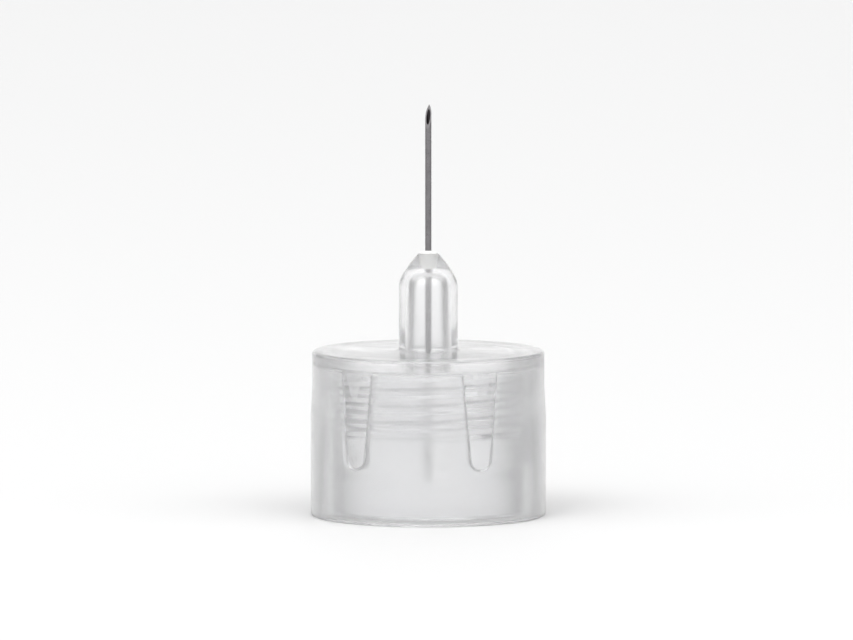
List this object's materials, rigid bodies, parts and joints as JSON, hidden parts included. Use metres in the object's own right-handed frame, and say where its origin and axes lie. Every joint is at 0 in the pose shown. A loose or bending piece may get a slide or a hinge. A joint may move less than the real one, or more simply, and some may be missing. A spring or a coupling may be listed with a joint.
{
  "type": "pen needle",
  "caption": "Fine steel injection tube pointed at both ends, bonded into a clear screw-on hub with a hollow post, an open skirt and an internally threaded sleeve.",
  "frame": {"origin": "centre of the open rim's plane, on the axis of the hub", "axes": "+Z along the tube towards its long exposed end, -Y the front, which the long end's bevel nearly faces"},
  "size_m": [0.0128, 0.0128, 0.0224],
  "materials": {
    "clear_plastic": "clear moulded polypropylene, slightly hazy, gloss outside and satin in the bores",
    "cured_adhesive": "clear cured resin, glossy, faintly warm",
    "needle_steel": "satin drawn stainless tube with finer ground bevels"
  },
  "bodies": {
    "root": {"hub": "clear_plastic", "adhesive": "cured_adhesive", "cannula": "needle_steel"}
  },
  "joints": []
}
